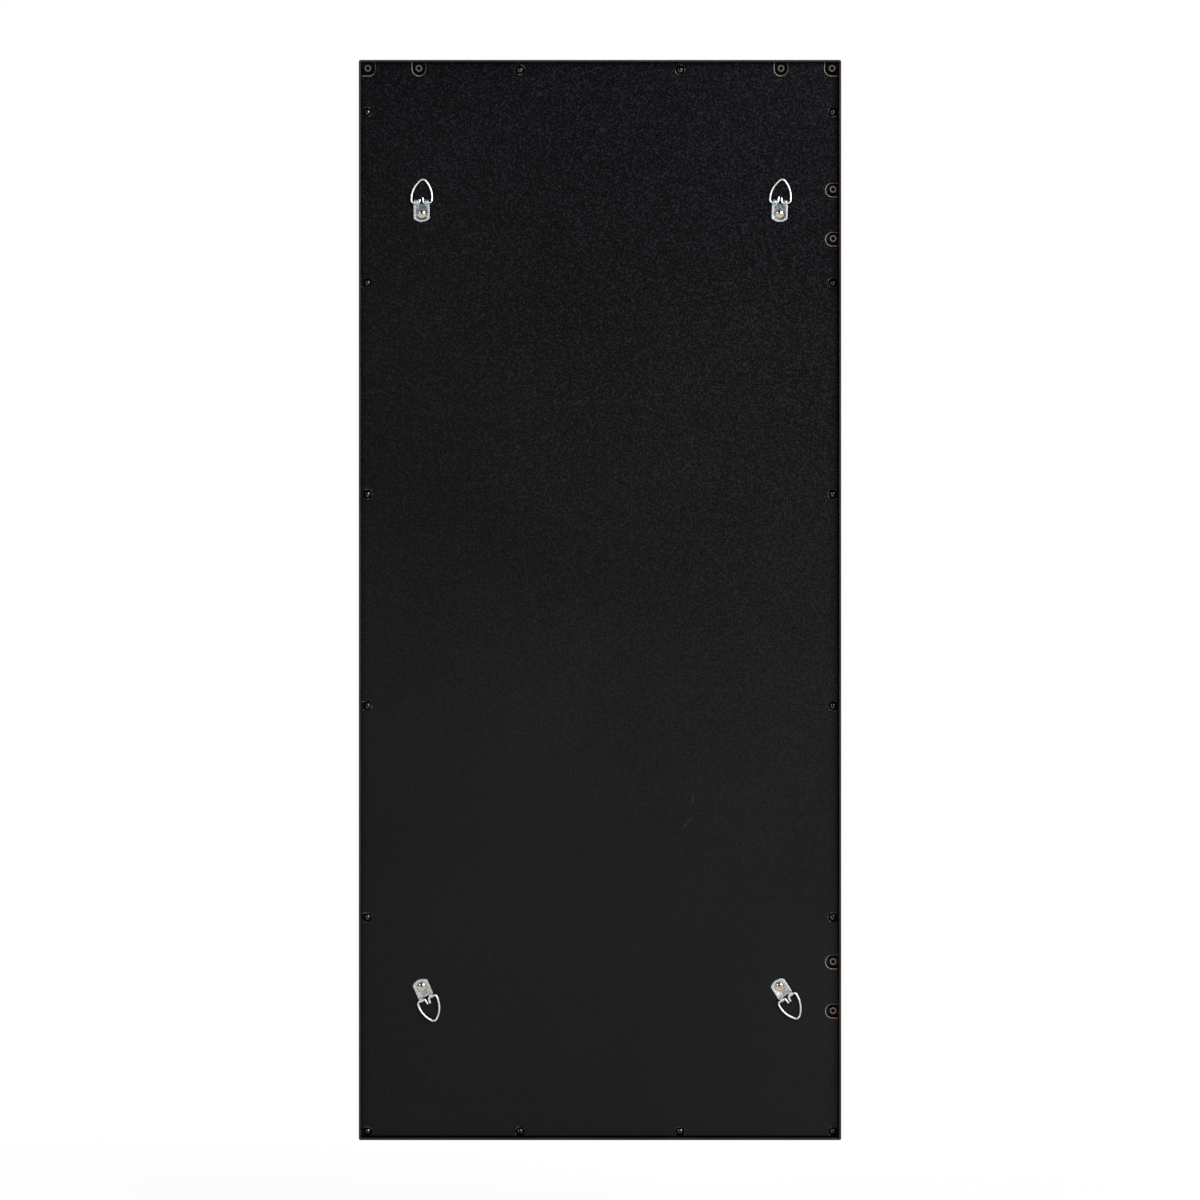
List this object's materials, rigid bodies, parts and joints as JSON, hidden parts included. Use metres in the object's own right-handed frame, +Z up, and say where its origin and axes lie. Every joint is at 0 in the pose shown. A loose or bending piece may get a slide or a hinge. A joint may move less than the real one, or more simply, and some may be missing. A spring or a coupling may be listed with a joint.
{
  "type": "window mirror",
  "caption": "Tall wall mirror in a thin steel window frame with bars across the glass, a screwed backing board, threaded bushes for brackets and swivelling ring hangers on the back.",
  "frame": {"origin": "middle of the back, in the plane of the frame's back rim, which lies on the wall", "axes": "+Z up along the height, +X to the right as the back is seen, +Y out of the mirror's front"},
  "size_m": [0.51, 0.025, 1.142],
  "materials": {
    "frame_bronze": "satin dark bronze powder coat",
    "mirror_glass": "silvered float glass",
    "felt": "black felt",
    "foam_tape": "white foam tape",
    "board": "black pebbled foil on fibreboard",
    "bush_bronze": "satin",
    "black_screw": "black oxide",
    "zinc_strap": "zinc plated",
    "nickel_wire": "nickel plated",
    "nickel_screw": "nickel plated"
  },
  "bodies": {
    "mirror": {"backing_board": "board", "board_posts": "frame_bronze", "board_screws": "black_screw", "bracket_bushes_side": "bush_bronze", "bracket_bushes_top": "bush_bronze", "felt_strip_bottom": "felt", "felt_strip_left": "felt", "felt_strip_right": "felt", "felt_strip_top": "felt", "frame_rail_bottom": "frame_bronze", "frame_rail_top": "frame_bronze", "frame_stile_left": "frame_bronze", "frame_stile_right": "frame_bronze", "hanger_screw_lower_left": "nickel_screw", "hanger_screw_lower_right": "nickel_screw", "hanger_screw_upper_left": "nickel_screw", "hanger_screw_upper_right": "nickel_screw", "mirror_glass": "mirror_glass", "mounting_tape_1": "foam_tape", "mounting_tape_2": "foam_tape", "mounting_tape_3": "foam_tape", "muntin_horizontal_1": "frame_bronze", "muntin_horizontal_2": "frame_bronze", "muntin_horizontal_3": "frame_bronze", "muntin_vertical": "frame_bronze"},
    "strap_upper_left": {"hanger_strap_upper_left": "zinc_strap"},
    "ring_upper_left": {"hanger_ring_upper_left": "nickel_wire"},
    "strap_upper_right": {"hanger_strap_upper_right": "zinc_strap"},
    "ring_upper_right": {"hanger_ring_upper_right": "nickel_wire"},
    "strap_lower_left": {"hanger_strap_lower_left": "zinc_strap"},
    "ring_lower_left": {"hanger_ring_lower_left": "nickel_wire"},
    "strap_lower_right": {"hanger_strap_lower_right": "zinc_strap"},
    "ring_lower_right": {"hanger_ring_lower_right": "nickel_wire"}
  },
  "joints": [
    {"name": "strap_swivel_upper_left", "type": "hinge", "parent": "mirror", "child": "strap_upper_left", "pos_m": [-0.1888, 0.008, 0.409], "axis": [0, 1, 0], "continuous": true},
    {"name": "ring_swing_upper_left", "type": "hinge", "parent": "strap_upper_left", "child": "ring_upper_left", "pos_m": [-0.1889, 0.00505, 0.42025], "axis": [1, 0, 0.0087], "range_deg": [0, 165]},
    {"name": "strap_swivel_upper_right", "type": "hinge", "parent": "mirror", "child": "strap_upper_right", "pos_m": [0.19, 0.008, 0.409], "axis": [0, 1, 0], "continuous": true},
    {"name": "ring_swing_upper_right", "type": "hinge", "parent": "strap_upper_right", "child": "ring_upper_right", "pos_m": [0.19039, 0.00505, 0.42024], "axis": [0.9994, 0, -0.0349], "range_deg": [0, 165]},
    {"name": "strap_swivel_lower_left", "type": "hinge", "parent": "mirror", "child": "strap_lower_left", "pos_m": [-0.1888, 0.008, -0.409], "axis": [0, 1, 0], "continuous": true},
    {"name": "ring_swing_lower_left", "type": "hinge", "parent": "strap_lower_left", "child": "ring_lower_left", "pos_m": [-0.18329, 0.00505, -0.42138], "axis": [-0.9135, 0, -0.4067], "range_deg": [-3, 165]},
    {"name": "strap_swivel_lower_right", "type": "hinge", "parent": "mirror", "child": "strap_lower_right", "pos_m": [0.19, 0.008, -0.409], "axis": [0, 1, 0], "continuous": true},
    {"name": "ring_swing_lower_right", "type": "hinge", "parent": "strap_lower_right", "child": "ring_lower_right", "pos_m": [0.19738, 0.00505, -0.42036], "axis": [-0.8387, 0, -0.5446], "range_deg": [-3, 165]}
  ]
}
